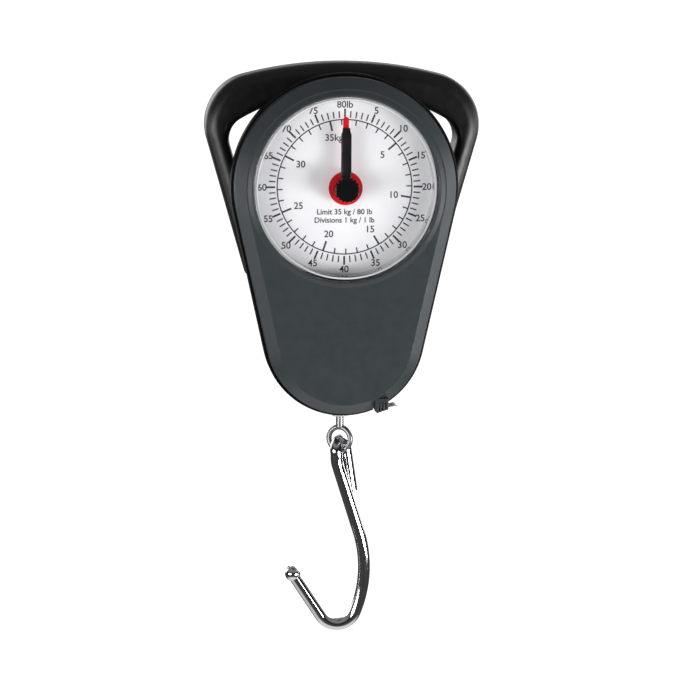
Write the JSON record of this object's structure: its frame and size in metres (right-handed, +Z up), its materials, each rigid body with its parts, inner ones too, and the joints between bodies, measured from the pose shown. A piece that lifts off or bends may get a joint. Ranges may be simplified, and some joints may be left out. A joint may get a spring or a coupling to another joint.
{
  "type": "hanging spring scale",
  "caption": "Hand-held hanging dial scale with arched grip, pear-shaped case, swivelling hook, hold pointer and a built-in short tape measure.",
  "frame": {"origin": "middle of the arched hand grip, straight above the eyebolt and the hook", "axes": "+Z up along the load line, +Y from the dial to the back, +X to the viewer's right when facing the dial"},
  "size_m": [0.1232, 0.0452, 0.2613],
  "materials": {
    "grey_plastic": "fine satin moulded ABS",
    "black_plastic": "satin moulded ABS",
    "clear_plastic": "clear polished acrylic",
    "dial_face": "printed satin silver",
    "red_plastic": "glossy",
    "black_gloss": "glossy",
    "steel_plate": "zinc plated",
    "spring_steel": "drawn wire",
    "brass": "machined",
    "screw_steel": "zinc plated",
    "chrome": "polished chrome plate",
    "white_nylon": "natural nylon",
    "tape_vinyl": "coated fibreglass tape"
  },
  "bodies": {
    "case": {"front_cover": "grey_plastic", "tape_mouth": "grey_plastic", "rear_shell": "black_plastic", "handle": "black_plastic", "case_screws": "screw_steel", "lens": "clear_plastic", "dial_plate": "dial_face", "knob_washer": "spring_steel", "movement_front_plate": "steel_plate", "movement_rear_plate": "steel_plate", "arbor_bush_front": "brass", "arbor_bush_rear": "brass", "movement_pillars": "brass", "movement_screws": "screw_steel", "spring_anchor": "steel_plate", "anchor_screws": "screw_steel", "spring_left": "spring_steel", "spring_right": "spring_steel", "shank_bush": "white_nylon", "reel_axle": "screw_steel"},
    "load_train": {"yoke": "steel_plate", "rack_bar": "brass", "rack_rivet": "brass"},
    "pointer": {"main_pointer": "red_plastic", "pinion_arbor": "brass"},
    "hold_hand": {"hold_pointer": "black_gloss", "hold_knob": "black_gloss"},
    "eye": {"eyebolt": "chrome", "thrust_washer": "steel_plate", "swivel_nut": "steel_plate"},
    "hook": {"hook": "chrome", "hook_ball": "chrome"},
    "reel": {"reel_spool": "white_nylon", "power_spring": "spring_steel", "tape_coil": "tape_vinyl"},
    "tape": {"tape_blade": "tape_vinyl", "tape_end_tab": "steel_plate"}
  },
  "joints": [
    {"name": "load_slide", "type": "slide", "parent": "case", "child": "load_train", "axis": [0, 0, -1], "range_m": [0, 0.01885], "stiffness_N_per_m": 18900, "deforming": ["spring_left", "spring_right"]},
    {"name": "pointer_turn", "type": "hinge", "parent": "case", "child": "pointer", "pos_m": [0, -0.013, -0.049], "axis": [0, 1, 0], "range_deg": [0, 360.1]},
    {"name": "hold_turn", "type": "hinge", "parent": "case", "child": "hold_hand", "pos_m": [0, -0.025, -0.049], "axis": [0, 1, 0], "range_deg": [0, 355]},
    {"name": "eye_swivel", "type": "hinge", "parent": "load_train", "child": "eye", "pos_m": [0, 0, -0.111], "axis": [0, 0, 1], "continuous": true},
    {"name": "hook_swing", "type": "hinge", "parent": "eye", "child": "hook", "pos_m": [0, 0, -0.1713], "axis": [0.866, -0.5, 0], "range_deg": [-60, 60]},
    {"name": "reel_turn", "type": "hinge", "parent": "case", "child": "reel", "pos_m": [0, -0.018, -0.1341], "axis": [0, 1, 0], "range_deg": [-88.2, 0], "stiffness_Nm_per_rad": 0.004, "springref_deg": 34.38},
    {"name": "tape_pull", "type": "slide", "parent": "case", "child": "tape", "axis": [1, 0, 0], "range_m": [0, 0.0201]}
  ],
  "couplings": [
    {"joint": "pointer_turn", "follows": "load_slide", "rad_per_m": 333.33},
    {"joint": "tape_pull", "follows": "reel_turn", "m_per_rad": -0.013}
  ]
}
